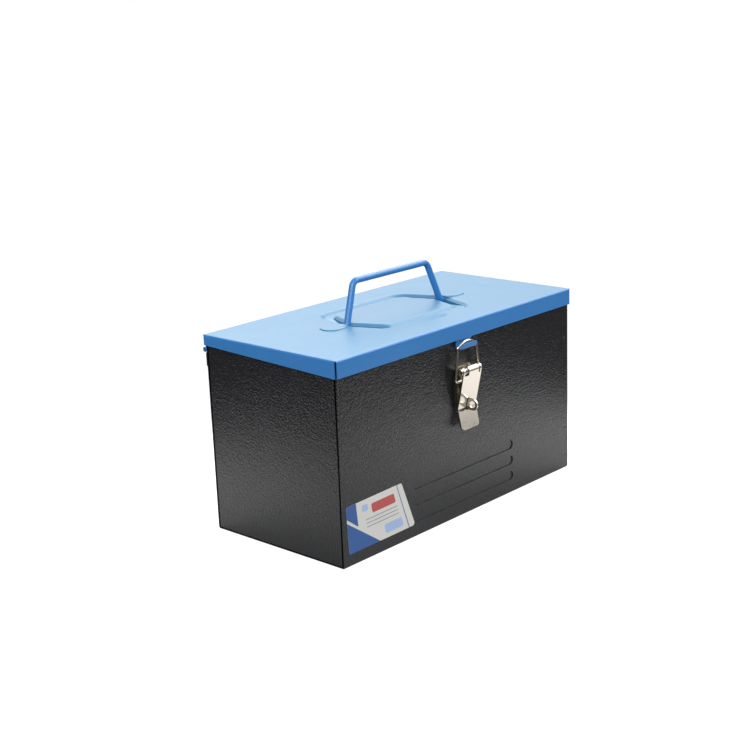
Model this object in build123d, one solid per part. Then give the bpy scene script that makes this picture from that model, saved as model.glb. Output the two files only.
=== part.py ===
# Small steel toolbox: a folded body, a shallow lid on a full-length hinge, a wire
# handle that folds into a pressed groove, and a toggle latch with a padlock eye.
# Millimetres. +X runs along the box to its right-hand end, -Y is the front with
# the latch, +Z is up. The origin is the centre of the base, on the floor.
import os
from math import atan, cos, pi, radians, sin, sqrt, tan

from build123d import *

# Box
length = 300.0              # over the lid, along X
depth = 148.0               # over the lid, along Y
height = 166.0              # floor to the lid's flat top
sheet = 0.8                 # steel of the body and lid
lid_overhang = 2.0          # lid's outside past the body's outside
bend_r = 1.6                # outside radius of the folds
seam_r = 1.2                # rounding of an end panel's folded edges
rim_gap = 0.3               # lid's underside over the body's rim
lap_gap = 0.1               # between two sheets that lie on each other
hem = 7.0                   # height of the folded-in safety edge
panel_flange = 12.0         # width of the end panels' inner flanges

# Lid
skirt_front = 14.0
skirt_back = 8.5
corner_slit = 1.6           # open corners of the folded skirt

# Handle, and the groove it folds into
wire_d = 5.5
foot_x = 59.4               # where a leg's line meets the pivot axis
grip_half = 46.0            # half the grip, corner to corner
handle_reach = 36.1         # pivot axis to the grip's centre
foot_length = 20.4          # corner to the foot's end
foot_bend_r = 5.0
grip_bend_r = 7.0
handle_lean = 5.5           # degrees past upright, towards the back
fold_rise = 6.7             # degrees, folded handle to the lid's top
pivot_below_top = 2.9       # pivot axis under the lid's top
groove_top_half = 7.0       # soft groove all round
groove_floor_half = 3.7
groove_depth = 2.1
groove_rim_r = 4.0
groove_corner_r = 10.0      # of the groove's middle line
channel_top_half = 3.9      # channel in it that deepens towards the feet
channel_floor_half = 3.2
channel_end_gap = 0.5       # end of the channel to the grip's part of the groove
floor_gap = 0.35            # wire over the channel's floor
scoop_x = 4.5               # finger scoop in front of the grip
scoop_r = 13.0
scoop_floor_r = 7.0
scoop_depth = 1.4
scoop_rim_r = 3.0
running_gap = 0.06          # radial, round every turning pin

# Hoods over the handle's feet
hood_length = 23.5
hood_width = 20.0
hood_slope = 0.6            # how far the hood's sides draw in, base to crown
mouth_gap = 0.3             # foot's bend to the hood's end wall

# Hinge
knuckle_count = 13
leaf = 0.8
leaf_gap = 0.2              # leaf to the wall behind it
hinge_pin_d = 2.5
hinge_drop = 13.0           # pin's axis under the lid's top
leaf_height = 13.5          # pin's axis to the body leaf's lower edge
knuckle_gap = 0.3

# Toggle latch, on the front at X = 0: "out" is from the body's front face, "drop" is
# from the lid's flat top
latch_sheet = 1.5
base_sheet = 1.2
base_width = 19.2
base_top_drop = 35.8
base_bottom_drop = 74.0
base_corner_r = 3.0
ear_root_drop = 46.5        # lower end of a base ear's root
lever_pin_d = 4.4
pin_head_d = 6.2
pin_head = 1.2
pin_head_round = 0.6
lever_pin_out = 7.0
lever_pin_drop = 39.4
ear_r = 3.1                 # round the pin, on the base
lever_width = 22.8
lever_lean = 12.8           # degrees, the closed lever's foot towards the body
bend_drop = 71.5            # where the finger tab starts
tab_flare = 13.0            # degrees outwards
tab_drop = 89.0             # tab's tip
tab_corner_r = 3.6
tongue_left = -4.4          # rolled tongue, from here
tongue_right = 7.9          # to here
shoulder_drop = 42.8
roll_gap_angle = 40.0       # degrees of the roll left open
bail_d = 2.2
bail_pivot_out = 5.0
bail_pivot_drop = 47.5
bail_ear_r = 2.9
ear_low_drop = 54.0         # lever's ears run along its plate from here to the pin
bail_top_half = 12.0
bail_foot_half = 15.5
bail_shoulder_drop = 19.0
bail_crown_drop = 14.0      # where the bar's two slopes would meet
bail_crown_r = 17.0
bail_shoulder_r = 2.4
bail_bend_r = 2.2
bail_end_x = 9.7
eye_r = 3.0                 # padlock hole
eye_wall = 2.0
eye_out = 9.8               # hole's centre from the body's face
eye_drop = 68.6
eye_sheet = 1.5
eye_neck = 8.4
eye_tenon = 6.0
slot_width = 3.0
slot_end_gap = 0.5
rivet_d = 3.2
rivet_head_d = 6.0
rivet_head = 1.2
rivet_edge = 0.5            # chamfer of the head
rivet_tail_d = 5.0
rivet_tail = 0.9
rivet_drops = (49.0, 59.5)
spring_wire = 0.7
spring_gap = 0.42           # between turns
spring_turns = 2            # full turns, besides the part turn between the legs
spring_side_gap = 0.2       # coil to the base's ear
spring_pin_gap = 0.1        # coil to the pin
spring_leg_lean = 18.0      # degrees, lever's leg of the spring to the lever
spring_leg = 7.0            # lever's leg
spring_base_lean = 30.0     # degrees, base's leg of the spring to upright
spring_samples = 300        # points for measuring its gap

# Hook folded from the lid's front skirt
hook_width = 18.4
hook_root_r = 2.0           # where the neck leaves the skirt
hook_gap = 0.45             # hook's back to the body's face
crook_r = 3.5               # of the sheet's middle line
crook_drop = 17.85          # crook's centre
lip_drop = 16.5
lip_corner_r = 1.2

# Pressed beads in the lower front
bead_count = 3
bead_half_length = 66.0
bead_width = 8.0
bead_depth = 0.9
bead_low_z = 16.0
bead_pitch = 14.0

# Worked-out sizes
body_x = length / 2 - lid_overhang
body_y = depth / 2 - lid_overhang
rim_z = height - sheet - rim_gap
pivot_z = height - pivot_below_top
channel_floor_z = pivot_z - wire_d / 2 - floor_gap
grip_y = handle_reach * cos(radians(fold_rise))
knuckle_r = hinge_pin_d / 2 + running_gap + leaf
hinge_y = body_y + leaf_gap + knuckle_r
hinge_z = height - hinge_drop
lever_pin_y = -body_y - lever_pin_out
bail_y = -body_y - bail_pivot_out
roll_r = lever_pin_d / 2 + running_gap + latch_sheet
base_top = height - base_top_drop
base_bottom = height - base_bottom_drop
ear_root_z = height - ear_root_drop
lever_pin_z = height - lever_pin_drop
bend_z = height - bend_drop
tab_z = height - tab_drop
shoulder_z = height - shoulder_drop
bail_pivot_z = height - bail_pivot_drop
ear_low_z = height - ear_low_drop
bail_shoulder_z = height - bail_shoulder_drop
bail_crown_z = height - bail_crown_drop
eye_z = height - eye_drop
rivet_zs = [height - drop for drop in rivet_drops]
crook_z = height - crook_drop
lip_z = height - lip_drop


def side_plane(x=0.0):
    """Plane across the box at x: its own axes are Y and Z."""
    return Plane(origin=(x, 0, 0), x_dir=(0, 1, 0), z_dir=(1, 0, 0))


def front_plane(y=0.0):
    """Plane along the box at y: its own axes are X and Z, and it faces the front."""
    return Plane(origin=(0, y, 0), x_dir=(1, 0, 0), z_dir=(0, -1, 0))


def box(x, y, z):
    """Box between two corners, given as (low, high) pairs."""
    size = [pair[1] - pair[0] for pair in (x, y, z)]
    centre = [(pair[0] + pair[1]) / 2 for pair in (x, y, z)]
    return Pos(*centre) * Box(*size)


def across(face, x_low, x_high):
    """Extrude a Y-Z outline from x_low to x_high."""
    return extrude(side_plane(x_low) * face, x_high - x_low)


def rod(x_low, x_high, y, z, r):
    """Round bar along X."""
    return across(Pos(y, z) * Circle(r), x_low, x_high)


def outline(points, radii=None):
    """Closed face from points, with round corners where a radius is given."""
    face = make_face(Polyline(*points, close=True))
    for index, r in (radii or {}).items():
        corner = face.vertices().sort_by_distance(Vector(*points[index]))[0]
        face = fillet(corner, r)
    return face


def strip(points, radii, thickness):
    """Face of a bent sheet seen on edge, from its middle line's corners."""
    path = FilletPolyline(*points, radius=radii) if len(points) > 2 else Line(*points)
    return trace(path, thickness)


# Body

def body_section(inset):
    """Y-Z outline of the body, drawn in by inset, up to the rim."""
    y = body_y - inset
    r = bend_r - inset if inset < bend_r else 0
    points = [(-y, inset), (y, inset), (y, rim_z), (-y, rim_z)]
    return outline(points, {0: r, 1: r} if r > 0 else None)


def bead(z, half_width, half_length, y_low, y_high):
    """Stadium block along X, for pressing a bead into the front."""
    face = Pos(0, z) * SlotOverall(2 * half_length, 2 * half_width)
    return extrude(front_plane(y_high) * face, y_high - y_low)


def body_wrap():
    """Front, floor and back: one folded sheet with safety edges and pressed beads."""
    wrap = across(body_section(0) - body_section(sheet), -body_x, body_x)
    for side in (-1, 1):
        wall = sorted((side * body_y, side * (body_y - 2 * sheet)))
        trim = body_x - 2 * sheet - rim_gap
        fold = box((-trim, trim), wall, (rim_z - hem, rim_z))
        wrap += fold
    for index in range(bead_count):
        z = bead_low_z + index * bead_pitch
        back = -body_y + sheet + bead_depth
        wrap += bead(z, bead_width / 2 + sheet / 2, bead_half_length + sheet / 2, -body_y, back)
        wrap -= bead(z, bead_width / 2, bead_half_length, -body_y, -body_y + bead_depth)
    return wrap - rivet_holes()


def rivet_holes():
    """Holes for the latch's rivets."""
    low, high = -body_y - base_sheet, -body_y + sheet
    face = Circle(rivet_d / 2 + running_gap)
    holes = [extrude(front_plane(high) * Pos(0, z) * face, high - low) for z in rivet_zs]
    return Part() + holes


def end_panel(side):
    """Flat end of the body, with a safety edge and flanges folded inwards."""
    lap = sheet + lap_gap
    face = body_section(lap)
    panel = across(face, 0, panel_flange)
    edges = panel.faces().sort_by(Axis.X)[0].edges()
    folds = edges.filter_by(lambda e: e.center().Z < rim_z - 1)
    panel = fillet(folds, seam_r)
    inner = body_y - lap - sheet
    hollow_points = [(-inner, lap + sheet), (inner, lap + sheet), (inner, rim_z + 1), (-inner, rim_z + 1)]
    panel -= across(outline(hollow_points), sheet, panel_flange)
    flange_top = rim_z - hem - rim_gap
    panel -= box((sheet, panel_flange), (-depth, depth), (flange_top, rim_z + 1))
    fold_half = body_y - 2 * sheet - rim_gap
    panel += box((0, 2 * sheet), (-fold_half, fold_half), (rim_z - hem, rim_z))
    placed = Pos(-body_x, 0, 0) * panel
    return placed if side < 0 else mirror(placed, about=Plane.YZ)


# Lid

leg_angle = atan(handle_reach / (foot_x - grip_half))
mouth_x = foot_x + foot_bend_r * tan(leg_angle / 2) + mouth_gap
hood_rise = wire_d / 2 - pivot_below_top + running_gap + lap_gap + sheet
skirt_z = height - skirt_front


def lid_tray():
    """Folded tray: deep skirt in front, sides that taper to the shallow back."""
    tray = box((-length / 2, length / 2), (-depth / 2, depth / 2), (skirt_z, height))
    tray = fillet(tray.faces().sort_by(Axis.Z)[-1].edges(), bend_r)
    x, y = length / 2 - sheet, depth / 2 - sheet
    inside = box((-x, x), (-y, y), (skirt_z, height - sheet))
    tray -= fillet(inside.faces().sort_by(Axis.Z)[-1].edges(), bend_r - sheet)
    low = skirt_z - 1
    taper = [(-y, low), (-y, skirt_z), (depth / 2 + 1, height - skirt_back), (depth / 2 + 1, low)]
    tray -= across(outline(taper), -length, length)
    for side_x in (-1, 1):
        for side_y in (-1, 1):
            span_x = sorted((side_x * length, side_x * (length / 2 - corner_slit)))
            span_y = sorted((side_y * depth, side_y * (depth / 2 - corner_slit)))
            tray -= box(span_x, span_y, (low, height - sheet))
    return tray


def ring_outline(spread, z):
    """Outline of the folded handle's middle line, spread outwards, at height z."""
    corners = [(foot_x, 0), (grip_half, grip_y), (-grip_half, grip_y)]
    corners += [(-foot_x, 0), (-grip_half, -grip_y), (grip_half, -grip_y)]
    face = outline(corners, {index: groove_corner_r for index in range(len(corners))})
    return Pos(0, 0, z) * offset(face, spread)


def ring(top_half, floor_half, deep, wall):
    """Solids inside the outer and inner sloping sides of a ring groove in the lid's top.

    With a wall they lie that much outside it, from inside the sheet to under its floor."""
    slope = (top_half - floor_half) / deep
    levels = (height - wall / 2, height - deep - wall)
    spreads = [top_half - slope * (height - z) + wall * sqrt(1 + slope ** 2) for z in levels]
    faces = [[ring_outline(sign * x, z) for x, z in zip(spreads, levels)] for sign in (1, -1)]
    return [loft(pair, ruled=True) for pair in faces]


def between_mouths(solid, wall):
    """Part of a solid between the two hoods' end walls."""
    end_x = mouth_x + wall
    return solid & box((-end_x, end_x), (-depth, depth), (0, 2 * height))


def scoop(wall):
    """Round finger scoop in front of the groove, or the same a wall outside it."""
    slope = (scoop_r - scoop_floor_r) / scoop_depth
    levels = (height - wall / 2, height - scoop_depth - wall)
    radii = [scoop_r - slope * (height - z) + wall * sqrt(1 + slope ** 2) for z in levels]
    return loft([Pos(scoop_x, -grip_y, z) * Circle(r) for z, r in zip(levels, radii)], ruled=True)


def before_grip(solid):
    """Part of a solid in front of the folded grip's middle."""
    return solid & box((-length, length), (-depth, -grip_y), (0, 2 * height))


def flared(hollow, rim_r):
    """Hollow with its mouth rounded outwards, as a pressed edge is."""
    plate = box((-body_x, body_x), (-body_y, body_y), (height - 2 * rim_r, height))
    rim = (plate - hollow).faces().sort_by(Axis.Z)[-1].inner_wires()[0].edges()
    return hollow + (plate - fillet(rim, rim_r))


def channel(wall):
    """Channel under the folded legs: it deepens from the grip's ends to the feet."""
    outer, island = ring(channel_top_half, channel_floor_half, height - channel_floor_z, wall)
    end_y = grip_y - groove_floor_half - channel_end_gap
    slope = (height - groove_depth - channel_floor_z) / end_y
    low, high = channel_floor_z - wall, channel_floor_z - wall + slope * depth
    ramp = across(outline([(-depth, high), (0, low), (depth, high)]), -length, length)
    return between_mouths((outer - island) & ramp, wall)


def groove_pressing():
    """Sheet under the groove, and the hollow that is pressed into it."""
    outer, island = ring(groove_top_half, groove_floor_half, groove_depth, sheet)
    block = between_mouths(outer - island, sheet) + channel(sheet) + before_grip(scoop(sheet))
    outer, island = ring(groove_top_half, groove_floor_half, groove_depth, 0)
    island = fillet(island.faces().sort_by(Axis.Z)[-1].edges(), groove_rim_r)
    hollow = between_mouths(flared(outer, groove_rim_r) - island, 0) + channel(0)
    hollow += before_grip(flared(scoop(0), scoop_rim_r))
    half = channel_floor_half
    for side in (-1, 1):
        span = sorted((side * foot_x, side * (mouth_x + sheet)))
        block += box(span, (-half - sheet, half + sheet), (channel_floor_z - sheet, height - sheet / 2))
        span = sorted((side * foot_x, side * mouth_x))
        hollow += box(span, (-half, half), (channel_floor_z, height))
    return block, hollow


def hood_block(base_z, mouth):
    """Solid hood on the right: a low stadium, open at the mouth."""
    long, wide = hood_length + hood_slope, hood_width
    centre = mouth_x + hood_length - long / 2
    base = Pos(centre, 0, base_z) * SlotOverall(long, wide)
    crown = Pos(centre, 0, base_z + hood_rise)
    crown *= SlotOverall(long - 2 * hood_slope, wide - 2 * hood_slope)
    block = loft([base, crown], ruled=True)
    return block & box((mouth, length), (-depth, depth), (0, 2 * height))


def hood():
    """Raised hood over the right foot, and what it needs cut away."""
    shell = hood_block(height, mouth_x)
    hollow = hood_block(height - sheet, mouth_x + sheet)
    hollow += rod(mouth_x - lap_gap, mouth_x + 2 * sheet, 0, pivot_z, wire_d / 2 + running_gap)
    return shell, hollow


def hook():
    """Hook folded from the front skirt: a neck, then a crook that opens upwards."""
    root = -depth / 2 + sheet / 2
    back = -body_y - hook_gap - sheet / 2
    front = back - 2 * crook_r
    step = (skirt_front - (height - crook_z)) / 2
    neck = Polyline((root, skirt_z + sheet), (root, skirt_z), (back, skirt_z + step), (back, crook_z))
    crook = ThreePointArc((back, crook_z), (back - crook_r, crook_z - crook_r), (front, crook_z))
    lip = Line((front, crook_z), (front, lip_z))
    half, wide, low = hook_width / 2, hook_width / 2 + hook_root_r, crook_z - 2 * crook_r
    points = [(-wide, height), (-wide, skirt_z), (-half, skirt_z), (-half, low)]
    points += [(-x, z) for x, z in reversed(points)]
    front = outline(points, {2: hook_root_r, 5: hook_root_r})
    piece = across(trace(neck + crook + lip, sheet), -wide, wide)
    piece &= extrude(front_plane() * front, depth)
    return fillet(piece.edges().filter_by(Axis.Y).sort_by(Axis.Y)[:2], lip_corner_r)


def lid_shell():
    """Lid with its skirt, pressed groove, hoods and hook, all one sheet."""
    block, hollow = groove_pressing()
    lid = lid_tray() + block - hollow
    shell, inside = hood()
    for flip in (False, True):
        add, cut = (mirror(shell, Plane.YZ), mirror(inside, Plane.YZ)) if flip else (shell, inside)
        lid = lid + add - cut
    return lid + hook()


# Handle

def carry_handle():
    """Bent wire handle, standing a little past upright."""
    half = [(foot_x + foot_length, 0), (foot_x, 0), (grip_half, handle_reach)]
    points = half + [(-x, y) for x, y in reversed(half)]
    radii = [foot_bend_r, grip_bend_r, grip_bend_r, foot_bend_r]
    path = Pos(0, 0, pivot_z) * Rot(90 - handle_lean, 0, 0) * FilletPolyline(*points, radius=radii)
    end = Plane(origin=path @ 0, z_dir=path % 0)
    return sweep(end * Circle(wire_d / 2), path=path)


# Hinge

def knuckle_spans(first):
    """Spans along X of every second knuckle."""
    pitch = 2 * body_x / knuckle_count
    lows = [-body_x + index * pitch for index in range(first, knuckle_count, 2)]
    return [(low + knuckle_gap / 2, low + pitch - knuckle_gap / 2) for low in lows]


def hinge_leaf(first, edge_z, far_z):
    """Leaf from far_z to edge_z beside the pin, with knuckles rolled round it."""
    wall = (body_y + leaf_gap, body_y + leaf_gap + leaf)
    piece = box((-body_x, body_x), wall, sorted((edge_z, far_z)))
    for span in knuckle_spans(first):
        piece += box(span, wall, sorted((hinge_z, edge_z)))
        piece += rod(*span, hinge_y, hinge_z, knuckle_r)
    return piece - rod(-length, length, hinge_y, hinge_z, hinge_pin_d / 2 + running_gap)


def hinge_leaf_body():
    """Lower leaf, on the back of the body."""
    return hinge_leaf(1, hinge_z - knuckle_r - knuckle_gap, hinge_z - leaf_height)


def hinge_leaf_lid():
    """Upper leaf, inside the lid's back skirt, with the two end knuckles."""
    return hinge_leaf(0, hinge_z + knuckle_r + knuckle_gap, height - sheet - rim_gap)


def hinge_pin():
    """Wire pin through all the knuckles."""
    return rod(-body_x + knuckle_gap, body_x - knuckle_gap, hinge_y, hinge_z, hinge_pin_d / 2)


# Latch

def out_y(distance):
    """Y of a point this far out from the body's front face."""
    return -body_y - distance


def latch_base():
    """Plate on the body with two ears bent out to carry the lever's pin."""
    half = base_width / 2
    plate = box((-half, half), (out_y(base_sheet), out_y(0)), (base_bottom, base_top))
    plate = fillet(plate.edges().filter_by(Axis.Y), base_corner_r)
    root = Line((out_y(base_sheet / 2), base_top - base_corner_r), (out_y(base_sheet / 2), ear_root_z))
    ear = make_hull((Pos(lever_pin_y, lever_pin_z) * Circle(ear_r)).edges() + root.edges())
    for low in (-half, half - base_sheet):
        plate += across(ear, low, low + base_sheet)
    plate -= rod(-half - 1, half + 1, lever_pin_y, lever_pin_z, lever_pin_d / 2 + running_gap)
    tenon = (eye_z - eye_tenon / 2 - running_gap, eye_z + eye_tenon / 2 + running_gap)
    slot = eye_sheet / 2 + running_gap
    plate -= box((-slot, slot), (out_y(base_sheet), out_y(0)), tenon)
    return plate - rivet_holes()


def base_rivets():
    """Two rivets through the base plate and the body's front."""
    shank = Circle(rivet_d / 2)
    piece = Part()
    for z in rivet_zs:
        inner = -body_y + sheet
        rivet = extrude(front_plane(inner) * Pos(0, z) * shank, sheet + base_sheet)
        head = extrude(front_plane(out_y(base_sheet)) * Pos(0, z) * Circle(rivet_head_d / 2), rivet_head)
        rim = head.faces().sort_by(Axis.Y)[0].edges()
        rivet += chamfer(rim, rivet_edge)
        rivet += extrude(front_plane(inner + rivet_tail) * Pos(0, z) * Circle(rivet_tail_d / 2), rivet_tail)
        piece += rivet
    return piece


def padlock_staple():
    """D-shaped eye that stands out through the lever, held by a tenon in the base."""
    r = eye_r + eye_wall
    neck = Line((out_y(base_sheet), eye_z - eye_neck / 2), (out_y(base_sheet), eye_z + eye_neck / 2))
    hole = Pos(out_y(eye_out), eye_z) * Circle(eye_r)
    face = make_hull((Pos(out_y(eye_out), eye_z) * Circle(r)).edges() + neck.edges()) - hole
    piece = across(face, -eye_sheet / 2, eye_sheet / 2)
    tenon = (eye_z - eye_tenon / 2, eye_z + eye_tenon / 2)
    return piece + box((-eye_sheet / 2, eye_sheet / 2), (out_y(base_sheet), out_y(0)), tenon)


def lever_pin():
    """Headed pin through the ears of the base and the lever."""
    half = lever_width / 2 + lap_gap
    pin = rod(-half, half, lever_pin_y, lever_pin_z, lever_pin_d / 2)
    for low, outer in ((-half - pin_head, 0), (half, -1)):
        head = rod(low, low + pin_head, lever_pin_y, lever_pin_z, pin_head_d / 2)
        rim = head.faces().sort_by(Axis.X)[outer].edges()
        pin += fillet(rim, pin_head_round)
    return pin


def lever_line():
    """Corners of the lever's middle line: at the roll, at the bend, past the tip."""
    lean, flare = radians(lever_lean), radians(tab_flare)
    reach = roll_r - latch_sheet / 2
    start = (lever_pin_y - reach * cos(lean), lever_pin_z - reach * sin(lean))
    bend = (start[0] + (start[1] - bend_z) * tan(lean), bend_z)
    tip_z = tab_z - latch_sheet
    tip = (bend[0] - (bend_z - tip_z) * tan(flare), tip_z)
    return start, bend, tip


def lever_front():
    """Front outline of the lever, in X and Z."""
    half, top = lever_width / 2, lever_pin_z + 2 * roll_r
    points = [(-half, tab_z), (half, tab_z), (half, shoulder_z), (tongue_right, shoulder_z)]
    points += [(tongue_right, top), (tongue_left, top), (tongue_left, shoulder_z), (-half, shoulder_z)]
    return outline(points, {0: tab_corner_r, 1: tab_corner_r})


def latch_lever():
    """Lever: a leaning plate rolled round the pin, with two ears and a finger tab."""
    start, bend, tip = lever_line()
    centre = Vector(lever_pin_y, lever_pin_z)
    lean = 180 + lever_lean
    wedge = [Vector(1, 0).rotate(Axis.Z, angle) * 3 * roll_r for angle in (lean, lean + roll_gap_angle)]
    roll = Circle(roll_r) - Circle(roll_r - latch_sheet) - make_face(Polyline((0, 0), *wedge, close=True))
    half = lever_width / 2
    front = extrude(front_plane(out_y(0)) * lever_front(), 2 * lever_pin_out)
    lever = across(strip([start, bend, tip], latch_sheet, latch_sheet), -half, half) & front
    lever += across(Pos(centre) * roll, tongue_left, tongue_right)
    slot_half = eye_r + eye_wall + slot_end_gap
    slot_z = (eye_z - slot_half, eye_z + slot_half)
    lever -= box((-slot_width / 2, slot_width / 2), (out_y(3 * lever_pin_out), out_y(0)), slot_z)
    low = start[0] + (start[1] - ear_low_z) * tan(radians(lever_lean))
    rounds = Pos(bail_y, bail_pivot_z) * Circle(bail_ear_r), Pos(centre) * Circle(roll_r)
    ear = make_hull(Line((low, ear_low_z), start).edges() + rounds[0].edges() + rounds[1].edges())
    ear -= Pos(centre) * Circle(roll_r - latch_sheet)
    for low_x in (-half, half - latch_sheet):
        lever += across(ear, low_x, low_x + latch_sheet)
    return lever - rod(-length, length, bail_y, bail_pivot_z, bail_d / 2 + running_gap)


def latch_bail():
    """Wire bail from the lever's ears up to the hook."""
    half = [(bail_end_x, bail_pivot_z), (bail_foot_half, bail_pivot_z), (bail_top_half, bail_shoulder_z)]
    points = half + [(0, bail_crown_z)] + [(-x, z) for x, z in reversed(half)]
    radii = [bail_bend_r, bail_shoulder_r, bail_crown_r, bail_shoulder_r, bail_bend_r]
    path = front_plane(bail_y) * FilletPolyline(*points, radius=radii)
    end = Plane(origin=path @ 0, z_dir=path % 0)
    return sweep(end * Circle(bail_d / 2), path=path)


# Spring

def biarc(start, along, end, arriving):
    """Two arcs that leave start along one direction and reach end along another."""
    chord, both = end - start, along + arriving
    a, b, c = 2 * (1 - along.dot(arriving)), chord.dot(both), chord.dot(chord)
    reach = (sqrt(b * b + a * c) - b) / a
    near, far = start + along * reach, end - arriving * reach
    joint = (near + far) * 0.5
    return [TangentArc(start, joint, tangent=along), TangentArc(joint, end, tangent=far - near)]


def self_gap(path):
    """Least distance between two stretches of the spring's wire, from points on it."""
    spots = [path @ (index / spring_samples) for index in range(spring_samples + 1)]
    apart = int(spring_samples * 3 * spring_wire / path.length)
    gaps = [(a - b).length for i, a in enumerate(spots) for b in spots[i + apart:]]
    return min(gaps) - spring_wire


def latch_spring():
    """Torsion spring on the lever's pin, one leg on the base, one behind the lever."""
    r = lever_pin_d / 2 + spring_pin_gap + spring_wire / 2
    rise = (spring_wire + spring_gap) / (2 * pi)
    first = -radians(lever_lean + spring_leg_lean)
    last = pi - radians(spring_base_lean) + 2 * pi * spring_turns
    low_x = -base_width / 2 + base_sheet + spring_side_gap + spring_wire / 2
    steps = 4 * spring_turns + 2
    points, ways = [], []
    for index in range(steps + 1):
        turn = first + (last - first) * index / steps
        x = low_x + rise * (turn - first)
        points.append(Vector(x, lever_pin_y - r * cos(turn), lever_pin_z + r * sin(turn)))
        ways.append(Vector(rise, r * sin(turn), r * cos(turn)).normalized())
    path = Curve() + Line(points[0] - ways[0] * spring_leg, points[0])
    for index in range(steps):
        path += biarc(points[index], ways[index], points[index + 1], ways[index + 1])
    rest_y = out_y(base_sheet + spring_wire / 2 + lap_gap)
    path += Line(points[-1], points[-1] + ways[-1] * ((rest_y - points[-1].Y) / ways[-1].Y))
    path = Wire(path.edges())
    print(f"spring: least gap between turns {self_gap(path):.2f} mm")
    end = Plane(origin=path @ 0, z_dir=path % 0)
    return sweep(end * Circle(spring_wire / 2), path=path)


def main():
    """Build every piece and write its file."""
    pieces = {
        "body_wrap": body_wrap(),
        "end_panel_left": end_panel(-1),
        "end_panel_right": end_panel(1),
        "lid_shell": lid_shell(),
        "carry_handle": carry_handle(),
        "hinge_leaf_body": hinge_leaf_body(),
        "hinge_leaf_lid": hinge_leaf_lid(),
        "hinge_pin": hinge_pin(),
        "latch_base": latch_base(),
        "base_rivets": base_rivets(),
        "padlock_staple": padlock_staple(),
        "lever_pin": lever_pin(),
        "latch_lever": latch_lever(),
        "latch_bail": latch_bail(),
        "latch_spring": latch_spring(),
    }
    os.makedirs("parts", exist_ok=True)
    for name, piece in pieces.items():
        export_step(piece, f"parts/{name}.step")


if __name__ == "__main__":
    main()
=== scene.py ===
from math import cos, radians, sin, tan

import bmesh
import bpy
from mathutils import Matrix, Vector


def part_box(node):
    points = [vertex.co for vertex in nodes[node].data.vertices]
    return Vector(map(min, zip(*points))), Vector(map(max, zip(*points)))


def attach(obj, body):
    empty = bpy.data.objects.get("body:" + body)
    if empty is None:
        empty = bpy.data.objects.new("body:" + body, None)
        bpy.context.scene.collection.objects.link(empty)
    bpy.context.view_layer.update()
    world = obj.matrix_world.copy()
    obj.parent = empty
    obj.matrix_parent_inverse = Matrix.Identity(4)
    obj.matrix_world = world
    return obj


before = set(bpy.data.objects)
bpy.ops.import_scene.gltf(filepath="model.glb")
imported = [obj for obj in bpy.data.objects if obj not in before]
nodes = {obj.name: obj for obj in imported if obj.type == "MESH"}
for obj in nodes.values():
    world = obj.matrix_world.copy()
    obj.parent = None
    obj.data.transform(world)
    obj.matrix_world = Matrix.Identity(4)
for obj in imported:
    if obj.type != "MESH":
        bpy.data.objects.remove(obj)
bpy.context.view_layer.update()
scene = bpy.context.scene

# Camera, as fitted to the photograph: metres and degrees
lens = 68.61                    # mm on the sensor
sensor = 36.0
view_azimuth = -47.186
view_elevation = 15.556
view_roll = -2.201
view_distance = 1.2175
view_target = (-0.01285, 0.01388, 0.11008)

# Lamps: metres and watts
key_place = (0.75, 0.75, 1.6)
key_size = (1.2, 1.2)
key_power = 4.0
fill_place = (-1.38, -0.82, 1.45)
fill_size = (2.0, 1.0)
fill_power = 42.0
lamp_target = (0.0, 0.0, 0.08)

# Floor: its tone changes with the distance from the box, a painted shadow near it, a painted pool of
# light around it and painted shade far off, stretched along and across a sheet
floor_half = 30.0
floor_turn = -43.0              # degrees from X to the sheet's long way
rise_stretch = (1.0, 2.5, 1.0)
floor_rise = (0.09, 0.25)       # distances where the tone turns from near to middle
fade_stretch = (1.18, 0.77, 1.0)
floor_fade = (0.27, 0.385)      # and from middle to far
# painted shadow of the box, painted pool of light around it, and painted shade beyond
floor_painted_shadow = 0.4
floor_painted_pool = 0.76
floor_painted_shade = 0.05
floor_roughness = 0.9
floor_specular = 0.1
glow_near = 0.75                # added to the floor as the camera sees it
glow_far = 0.95
# painted pool of light that mirrors see in the floor's middle
mirror_painted_pool = 0.05              # added to its middle as mirrors see it

# Lights of the world: the directions they lie in, and radiances where 1 is white
window_way = (0.68, 0.68, 0.27)
window_edge = (0.55, 0.95)      # cosines where its light starts and is full
window_level = 0.9
strip_way = (0.7, 0.05, 0.68)   # middle of a long lamp along Y, high on the right
strip_side = (0.697, 0.0, -0.717)
strip_edge = (0.36, 0.12)       # sines off its line where its light starts and is full
strip_ends = (0.45, 0.8)
strip_level = 5.4
glint_way = (0.705, -0.7, 0.09)
glint_edge = (0.92, 0.985)
glint_level = 1.3
tent_edge = (0.2, 0.7)          # heights of a direction where its light starts and is full
tent_level = 0.45
room_level = 0.08

# Paint: pairs of a dark and a light colour, cycles a metre, and bump heights in metres
charcoal = (0.003, 0.0034, 0.0045), (0.0155, 0.0162, 0.0185)
side_blue = (0.03, 0.178, 0.47), (0.042, 0.21, 0.53)
# painted sheen: a greyer copy of the blue for the lid's brightly lit top
painted_sheen_blue = (0.036, 0.168, 0.31), (0.054, 0.21, 0.375)
# painted shade: the black laid in the seams and slits where shade falls
painted_shade_black = (0.002, 0.002, 0.002)
body_cloud = 25
blue_cloud = 18
grain_scale = 1500
cloud_share = 0.4               # of the clouds in a mottled tone, and of the grain
grain_share = 0.6
wrinkle_scale = 620
wrinkle_height = 0.00038
wave_scale = 160
wave_height = 0.00008
peel_scale = 450
noise_span = (0.3, 0.7)         # where most of a noise's values lie
grain_span = (0.35, 0.65)

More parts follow.
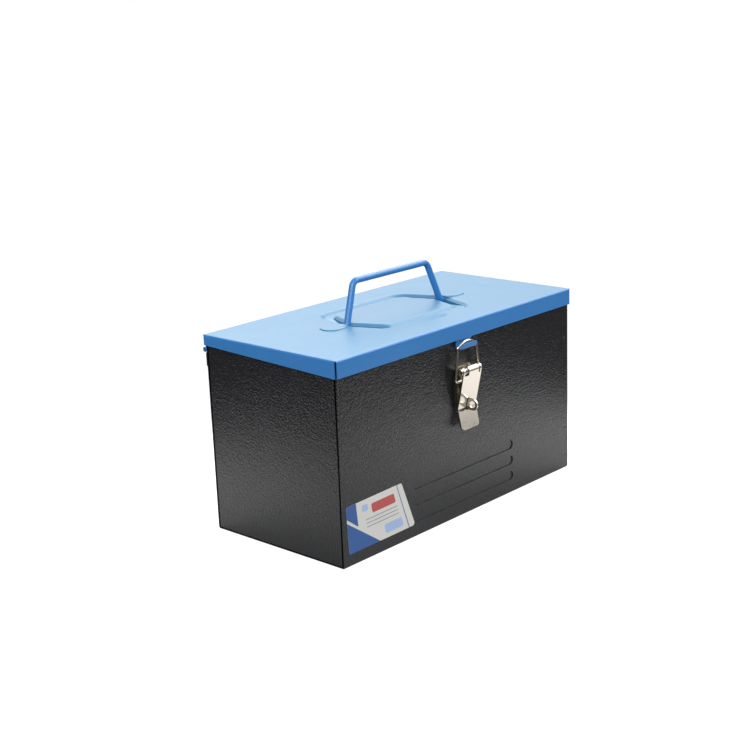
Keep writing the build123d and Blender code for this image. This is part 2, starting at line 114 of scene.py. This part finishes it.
# Painted shade in the seam on the end panels beside the front and back sheets, in metres
seam_y = 0.0704
seam_half = 0.0011
seam_core = 0.6                 # share of the half that is full black
end_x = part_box("end_panel_right")[1][0] - 0.0008

# Spot welds that hold the end panels' flanges to the front and back sheets
weld_x = 0.1425
weld_heights = (0.014, 0.04, 0.121)
weld_r = 0.0017
weld_core = 0.5                 # share of the radius that is flat
weld_depth = 0.0003

# Lid: half its size, the painted shade of the slits at its upright corners, and where the painted
# sheen of its top starts
lid_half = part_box("lid_shell")[1][:2]
slit_reach = 0.0011
slit_core = 0.7
slit_foot = 0.1535
painted_sheen_edge = (0.0004, 0.0016)     # distances in from its sides

# Metal: colour and roughness, and the print and vinyl of the sticker
nickel = (0.73, 0.675, 0.585), (0.14, 0.22)
drawn_steel = (0.55, 0.54, 0.53), (0.22, 0.34)
dim_share = 0.88                # of the colour, in the metal's darker clouds
faint = 0.00001                 # bump height that barely shows
vinyl_roughness = 0.35
white_vinyl = (0.57, 0.57, 0.545), (0.62, 0.62, 0.59)
blue_ink = (0.024, 0.085, 0.27), (0.03, 0.1, 0.31)
red_ink = (0.40, 0.065, 0.062), (0.46, 0.08, 0.075)
grey_ink = (0.2, 0.22, 0.27), (0.25, 0.27, 0.32)
pale_ink = (0.3, 0.42, 0.66), (0.36, 0.48, 0.72)

# Sticker, low on the left of the front: metres along X and up Z
sticker_corners = [(-0.1422, 0.0102), (-0.0648, 0.0108), (-0.0798, 0.0506), (-0.1438, 0.0492)]
sticker_round = 0.0022
bar_round = 0.0015
sticker_thickness = 0.00015
print_thickness = 0.00003
seat = 0.00005                  # how far a stuck piece sinks into its carrier

# Its print, in shares of its width and height; a bar is its low and its high corner
low_band = [(0, 0), (0.46, 0), (0.0, 0.66)]
high_band = [(0, 0.74), (0.17, 0.5), (0.17, 1), (0, 1)]
blue_bar = (0.9, 0.0, 0.912, 1.0)
red_bar = (0.42, 0.66, 0.82, 0.86)
grey_bars = [(0.3, low, 0.82, low + 0.018) for low in (0.4, 0.48, 0.56)]
pale_bars = [(0.56, 0.1, 0.84, 0.3), (0.26, 0.76, 0.36, 0.9)]


def facing(back):
    """Turn of a camera or lamp whose back points one way."""
    return back.to_track_quat("Z", "Y").to_matrix()


def add_camera():
    """Camera at the photograph's viewing angle."""
    azimuth, elevation = radians(view_azimuth), radians(view_elevation)
    back = Vector((sin(azimuth) * cos(elevation), -cos(azimuth) * cos(elevation), sin(elevation)))
    data = bpy.data.cameras.new("camera")
    data.lens = lens
    data.sensor_width = sensor
    camera = bpy.data.objects.new("camera", data)
    scene.collection.objects.link(camera)
    turn = facing(back) @ Matrix.Rotation(radians(view_roll), 3, "Z")
    place = Vector(view_target) + back * view_distance
    camera.matrix_world = Matrix.Translation(place) @ turn.to_4x4()
    scene.camera = camera


# Nodes of a material or the world

def new_material(name):
    """Material with its node tree and its principled shader."""
    material = bpy.data.materials.new(name)
    material.use_nodes = True
    tree = material.node_tree
    shader = next(n for n in tree.nodes if n.type == "BSDF_PRINCIPLED")
    return material, tree, shader


def add_node(tree, kind, inputs=None, **settings):
    """Node with its settings and the values or links of its inputs."""
    node = tree.nodes.new(kind)
    for name, value in settings.items():
        setattr(node, name, value)
    for name, value in (inputs or {}).items():
        if isinstance(value, bpy.types.NodeSocket):
            tree.links.new(value, node.inputs[name])
        else:
            node.inputs[name].default_value = value
    return node


def calc(tree, operation, first, second=0.0):
    """Result of one operation on values or sockets."""
    return add_node(tree, "ShaderNodeMath", {0: first, 1: second}, operation=operation).outputs[0]


def remap(tree, value, low, high, new_low, new_high):
    """Value stretched from one range to another and clamped."""
    ranges = {"Value": value, "From Min": low, "From Max": high, "To Min": new_low, "To Max": new_high}
    return add_node(tree, "ShaderNodeMapRange", ranges).outputs["Result"]


def blend(tree, share, first, second):
    """Colour between two colours, each a socket or its red, green and blue."""
    pair = [c if isinstance(c, bpy.types.NodeSocket) else (*c, 1) for c in (first, second)]
    inputs = {0: share, 6: pair[0], 7: pair[1]}
    return add_node(tree, "ShaderNodeMix", inputs, data_type="RGBA").outputs[2]


def place_of(tree):
    """Position on the object, in metres, fixed to its piece."""
    return add_node(tree, "ShaderNodeTexCoord").outputs["Object"]


def noise(tree, place, scale, detail=2.0, distortion=0.0):
    """Noise value, 0 to 1, with scale in cycles a metre."""
    values = {"Vector": place, "Scale": scale, "Detail": detail, "Distortion": distortion}
    return add_node(tree, "ShaderNodeTexNoise", values).outputs["Fac"]


def mottle(tree, place, scale):
    """Broad clouds mixed with the fine grain of a sprayed coat, 0 to 1."""
    cloud = noise(tree, place, scale, 3.0)
    grain = remap(tree, noise(tree, place, grain_scale, 1.0), *grain_span, 0, 1)
    shares = calc(tree, "MULTIPLY", cloud, cloud_share), calc(tree, "MULTIPLY", grain, grain_share)
    return calc(tree, "ADD", *shares)


def bump(tree, height, distance, normal=None):
    """Bumped normal, with its height in metres."""
    values = {"Height": height, "Distance": distance}
    if normal is not None:
        values["Normal"] = normal
    return add_node(tree, "ShaderNodeBump", values).outputs["Normal"]


def roughen(tree, shader, pattern, limits):
    """Roughness between two limits that follows a noise."""
    tree.links.new(remap(tree, pattern, *noise_span, *limits), shader.inputs["Roughness"])


def from_middle(tree, place):
    """Distances from the box's middle along X and Y, and the height."""
    xyz = add_node(tree, "ShaderNodeSeparateXYZ", {0: place}).outputs
    return calc(tree, "ABSOLUTE", xyz["X"]), calc(tree, "ABSOLUTE", xyz["Y"]), xyz["Z"]


# Marks that lie at places on the box

def in_painted_seam_shade(tree, place):
    """1 in the painted shade of the seam beside an end panel's upright folds, and 0 elsewhere."""
    x, y, _ = from_middle(tree, place)
    off = calc(tree, "ABSOLUTE", calc(tree, "SUBTRACT", y, seam_y))
    near = remap(tree, off, seam_half, seam_core * seam_half, 0, 1)
    return calc(tree, "MULTIPLY", near, calc(tree, "GREATER_THAN", x, end_x))


def between_welds(tree, place):
    """0 in the dimples of the spot welds along the sheet's upright edges, and 1 elsewhere."""
    x, _, z = from_middle(tree, place)
    across = calc(tree, "SUBTRACT", x, weld_x)
    across = calc(tree, "MULTIPLY", across, across)
    clear = 1.0
    for height in weld_heights:
        up = calc(tree, "SUBTRACT", z, height)
        gap = calc(tree, "SQRT", calc(tree, "ADD", across, calc(tree, "MULTIPLY", up, up)))
        clear = calc(tree, "MINIMUM", clear, remap(tree, gap, weld_core * weld_r, weld_r, 0, 1))
    return clear


def from_sides(tree, place):
    """Distances in from the lid's ends and from its front or back, and the height."""
    x, y, z = from_middle(tree, place)
    return calc(tree, "SUBTRACT", lid_half[0], x), calc(tree, "SUBTRACT", lid_half[1], y), z


def in_painted_slit_shade(tree, place):
    """1 in the painted shade of the open upper part of the lid's corner slits, and 0 elsewhere."""
    x_gap, y_gap, z = from_sides(tree, place)
    farther = calc(tree, "MAXIMUM", x_gap, y_gap)
    near = remap(tree, farther, slit_reach, slit_core * slit_reach, 0, 1)
    return calc(tree, "MULTIPLY", near, calc(tree, "GREATER_THAN", z, slit_foot))


def on_painted_sheen(tree, place):
    """1 on the lid's flat top, which is painted greyer as a painted sheen of the light on it, and 0 on
    its sides.
    """
    x_gap, y_gap, _ = from_sides(tree, place)
    return remap(tree, calc(tree, "MINIMUM", x_gap, y_gap), *painted_sheen_edge, 0, 1)


# Materials

def with_painted_gap_shade(tree, shader, colour, where):
    """Colour with painted shade: black gaps that don't shine, where shade falls in seams and slits."""
    tree.links.new(where, shader.inputs["Metallic"])
    return blend(tree, where, colour, painted_shade_black)


def hammertone(name, folded):
    """Charcoal enamel dried in fine wrinkles: on a folded end with painted shade in its seams, else
    with welds.
    """
    material, tree, shader = new_material(name)
    place = place_of(tree)
    wrinkle = noise(tree, place, wrinkle_scale, distortion=0.8)
    colour = blend(tree, mottle(tree, place, body_cloud), *charcoal)
    normal = bump(tree, noise(tree, place, wave_scale), wave_height)
    if folded:
        # painted shade: black along the seam beside the end panel's folds
        colour = with_painted_gap_shade(tree, shader, colour, in_painted_seam_shade(tree, place))
    else:
        normal = bump(tree, between_welds(tree, place), weld_depth, normal)
    tree.links.new(colour, shader.inputs["Base Color"])
    tree.links.new(bump(tree, wrinkle, wrinkle_height, normal), shader.inputs["Normal"])
    roughen(tree, shader, wrinkle, (0.11, 0.16))
    shader.inputs["IOR"].default_value = 1.6
    return material


def blue_enamel(name, roughness, peel_height, lid):
    """Smooth blue enamel with a faint orange peel: on the lid with a painted sheen on its top and
    painted shade in its slits.
    """
    material, tree, shader = new_material(name)
    place = place_of(tree)
    speckle = mottle(tree, place, blue_cloud)
    colour = blend(tree, speckle, *side_blue)
    if lid:
        # painted sheen on the lid's top, and painted shade in its corner slits
        colour = blend(tree, on_painted_sheen(tree, place), colour, blend(tree, speckle, *painted_sheen_blue))
        colour = with_painted_gap_shade(tree, shader, colour, in_painted_slit_shade(tree, place))
    tree.links.new(colour, shader.inputs["Base Color"])
    peel = noise(tree, place, peel_scale)
    tree.links.new(bump(tree, peel, peel_height), shader.inputs["Normal"])
    roughen(tree, shader, noise(tree, place, blue_cloud, 3.0), roughness)
    shader.inputs["IOR"].default_value = 1.5
    return material


def bare_metal(name, colour, roughness):
    """Plated or drawn steel with a faint grain."""
    material, tree, shader = new_material(name)
    place = place_of(tree)
    cloud = noise(tree, place, 120, 3.0)
    dimmer = [dim_share * channel for channel in colour]
    tree.links.new(blend(tree, cloud, dimmer, colour), shader.inputs["Base Color"])
    tree.links.new(bump(tree, noise(tree, place, 900), faint), shader.inputs["Normal"])
    roughen(tree, shader, cloud, roughness)
    shader.inputs["Metallic"].default_value = 1.0
    return material


def coloured_print(name, dark, light):
    """Printed vinyl of one colour, barely mottled."""
    material, tree, shader = new_material(name)
    place = place_of(tree)
    cloud = noise(tree, place, 60, 3.0)
    tree.links.new(blend(tree, cloud, dark, light), shader.inputs["Base Color"])
    tree.links.new(bump(tree, noise(tree, place, 400), faint), shader.inputs["Normal"])
    shader.inputs["Roughness"].default_value = vinyl_roughness
    return material


def dress(material, *names):
    """Give CAD nodes a material."""
    for name in names:
        slots = nodes[name].data.materials
        slots.clear()
        slots.append(material)


def dress_nodes():
    """Give every CAD node its material."""
    dress(hammertone("hammertone_charcoal", False), "body_wrap", "hinge_leaf_body")
    dress(hammertone("hammertone_end", True), "end_panel_left", "end_panel_right")
    dress(blue_enamel("blue_enamel", (0.36, 0.42), 0.0001, True), "lid_shell")
    handle_paint = blue_enamel("handle_enamel", (0.26, 0.32), 0.00003, False)
    dress(handle_paint, "carry_handle", "hinge_leaf_lid")
    plate = bare_metal("nickel_plate", *nickel)
    dress(plate, "latch_base", "base_rivets", "padlock_staple")
    dress(plate, "lever_pin", "latch_lever", "latch_bail")
    dress(bare_metal("drawn_steel", *drawn_steel), "hinge_pin", "latch_spring")


# Sticker

def rounded(points, radius, steps=6):
    """Closed outline with the given corners rounded: radius is a number or one per corner."""
    radii = radius if isinstance(radius, list) else [radius] * len(points)
    turned = []
    for index, r in enumerate(radii):
        corner = Vector(points[index])
        if not r:
            turned.append(corner)
            continue
        before = (Vector(points[index - 1]) - corner).normalized()
        after = (Vector(points[(index + 1) % len(points)]) - corner).normalized()
        half = before.angle(after) / 2
        reach = r / tan(half)
        centre = corner + (before + after).normalized() * (r / sin(half))
        start = corner + before * reach - centre
        sweep = start.angle_signed(corner + after * reach - centre)
        for step in range(steps + 1):
            turned.append(centre + Matrix.Rotation(-sweep * step / steps, 2) @ start)
    return turned


def on_sticker(u, v):
    """Point on the sticker, u from left to right and v upwards, both 0 to 1."""
    low_left, low_right, high_right, high_left = [Vector(corner) for corner in sticker_corners]
    return low_left.lerp(low_right, u).lerp(high_left.lerp(high_right, u), v)


def band(points, radius):
    """Outline on the sticker with corners at the given shares."""
    return rounded([on_sticker(*point) for point in points], radius)


def bar(low_u, low_v, high_u, high_v, radius=0.0):
    """Outline of an upright bar on the sticker."""
    return band([(low_u, low_v), (high_u, low_v), (high_u, high_v), (low_u, high_v)], radius)


def flat_piece(name, outlines, back, front, material):
    """Thin piece on the front wall made of upright outlines, between two depths along Y."""
    mesh = bmesh.new()
    for outline in outlines:
        rings = [[mesh.verts.new((p.x, y, p.y)) for p in outline] for y in (back, front)]
        mesh.faces.new(rings[1])
        mesh.faces.new(list(reversed(rings[0])))
        for index in range(len(outline)):
            after = (index + 1) % len(outline)
            mesh.faces.new((rings[0][index], rings[0][after], rings[1][after], rings[1][index]))
    bmesh.ops.recalc_face_normals(mesh, faces=mesh.faces)
    data = bpy.data.meshes.new(name)
    mesh.to_mesh(data)
    mesh.free()
    data.materials.append(material)
    piece = bpy.data.objects.new(name, data)
    scene.collection.objects.link(piece)
    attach(piece, "case")


def add_sticker():
    """White vinyl sticker with a plain printed pattern of bars and bands."""
    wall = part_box("body_wrap")[0][1]
    face = wall - sticker_thickness
    ink = face - print_thickness
    white = coloured_print("sticker_white", *white_vinyl)
    flat_piece("sticker", [rounded(sticker_corners, sticker_round)], wall + seat, face, white)
    r = sticker_round
    blues = [band(low_band, [r, 0, 0]), band(high_band, [0, 0, 0, r]), bar(*blue_bar)]
    reds = [bar(*red_bar, bar_round)]
    greys = [bar(*grey_bar) for grey_bar in grey_bars]
    pales = [bar(*pale_bar, bar_round) for pale_bar in pale_bars]
    prints = (
        ("sticker_blue_ink", blues, "sticker_blue", blue_ink),
        ("sticker_red_ink", reds, "sticker_red", red_ink),
        ("sticker_grey_ink", greys, "sticker_grey", grey_ink),
        ("sticker_pale_ink", pales, "sticker_pale_blue", pale_ink),
    )
    for name, outlines, material, colours in prints:
        flat_piece(name, outlines, face + seat, ink, coloured_print(material, *colours))


# Light and floor

def add_area(name, place, size, power):
    """Soft box that looks at the object."""
    data = bpy.data.lights.new(name, "AREA")
    data.shape = "RECTANGLE"
    data.size, data.size_y = size
    data.energy = power
    lamp = bpy.data.objects.new(name, data)
    scene.collection.objects.link(lamp)
    turn = facing(Vector(place) - Vector(lamp_target))
    lamp.matrix_world = Matrix.Translation(place) @ turn.to_4x4()


def seen(tree, shown, mirrored):
    """Glow as the camera sees it, and as mirrors and glass do."""
    path = add_node(tree, "ShaderNodeLightPath").outputs
    bounced = calc(tree, "MAXIMUM", path["Is Glossy Ray"], path["Is Transmission Ray"])
    direct = calc(tree, "MULTIPLY", path["Is Camera Ray"], shown)
    return calc(tree, "MAXIMUM", direct, calc(tree, "MULTIPLY", bounced, mirrored))


def away(tree, stretch):
    """Distance on the floor from the box's middle, stretched along and across the sheet."""
    turned = {"Vector": place_of(tree), "Rotation": (0, 0, radians(floor_turn)), "Scale": stretch}
    vector = add_node(tree, "ShaderNodeMapping", turned, vector_type="TEXTURE").outputs["Vector"]
    return add_node(tree, "ShaderNodeVectorMath", {0: vector}, operation="LENGTH").outputs["Value"]


def floor_paint():
    """White to the camera, and to everything else a tone that changes with distance: a painted shadow
    near the box, a painted pool of light and painted shade far off.
    """
    material, tree, shader = new_material("pale_floor")
    shader.inputs["Roughness"].default_value = floor_roughness
    shader.inputs["Specular IOR Level"].default_value = floor_specular
    # painted shadow near the box, painted pool of light around it, painted shade far off
    far = remap(tree, away(tree, fade_stretch), *floor_fade, 0, 1)
    rise = remap(tree, away(tree, rise_stretch), *floor_rise, 0, 1)
    near = blend(tree, rise, [floor_painted_shadow] * 3, [floor_painted_pool] * 3)
    tree.links.new(blend(tree, far, near, [floor_painted_shade] * 3), shader.inputs["Base Color"])
    glow = remap(tree, far, 0, 1, glow_near, glow_far)
    painted_pool_glow = calc(tree, "MULTIPLY", rise, remap(tree, far, 0, 1, mirror_painted_pool, 0))
    tree.links.new(seen(tree, glow, painted_pool_glow), shader.inputs["Emission Strength"])
    shader.inputs["Emission Color"].default_value = (1, 1, 1, 1)
    return material


def add_floor():
    """Pale floor that looks white and keeps the shadow, with a painted shadow and a painted pool of
    light in its tone.
    """
    half = floor_half
    corners = [(-half, -half, 0), (half, -half, 0), (half, half, 0), (-half, half, 0)]
    data = bpy.data.meshes.new("floor")
    data.from_pydata(corners, [], [(0, 1, 2, 3)])
    data.materials.append(floor_paint())
    floor = bpy.data.objects.new("floor", data)
    scene.collection.objects.link(floor)


def toward(tree, way):
    """How far the world's direction points one way, -1 to 1."""
    direction = add_node(tree, "ShaderNodeTexCoord").outputs["Generated"]
    pair = {0: direction, 1: Vector(way).normalized()}
    return add_node(tree, "ShaderNodeVectorMath", pair, operation="DOT_PRODUCT").outputs["Value"]


def add_world():
    """Grey room with soft panes of light on the right and above, and white to the camera."""
    world = bpy.data.worlds.new("studio")
    scene.world = world
    world.use_nodes = True
    tree = world.node_tree
    background = next(n for n in tree.nodes if n.type == "BACKGROUND")
    background.inputs["Color"].default_value = (1, 1, 1, 1)
    window = remap(tree, toward(tree, window_way), *window_edge, 0, window_level)
    glint = remap(tree, toward(tree, glint_way), *glint_edge, 0, glint_level)
    off = calc(tree, "ABSOLUTE", toward(tree, strip_side))
    across = remap(tree, off, *strip_edge, 0, strip_level)
    along = remap(tree, toward(tree, strip_way), *strip_ends, 0, 1)
    tent = remap(tree, toward(tree, (0, 0, 1)), *tent_edge, room_level, tent_level)
    room = calc(tree, "MAXIMUM", window, calc(tree, "MULTIPLY", across, along))
    room = calc(tree, "MAXIMUM", calc(tree, "MAXIMUM", room, glint), tent)
    to_camera = add_node(tree, "ShaderNodeLightPath").outputs["Is Camera Ray"]
    tree.links.new(remap(tree, to_camera, 0, 1, room, 1.0), background.inputs["Strength"])


def light_scene():
    """Lamps, world and floor."""
    scene.view_settings.view_transform = "Standard"
    add_world()
    add_floor()
    add_area("key_box", key_place, key_size, key_power)
    add_area("fill_box", fill_place, fill_size, fill_power)


add_camera()
dress_nodes()
add_sticker()
light_scene()
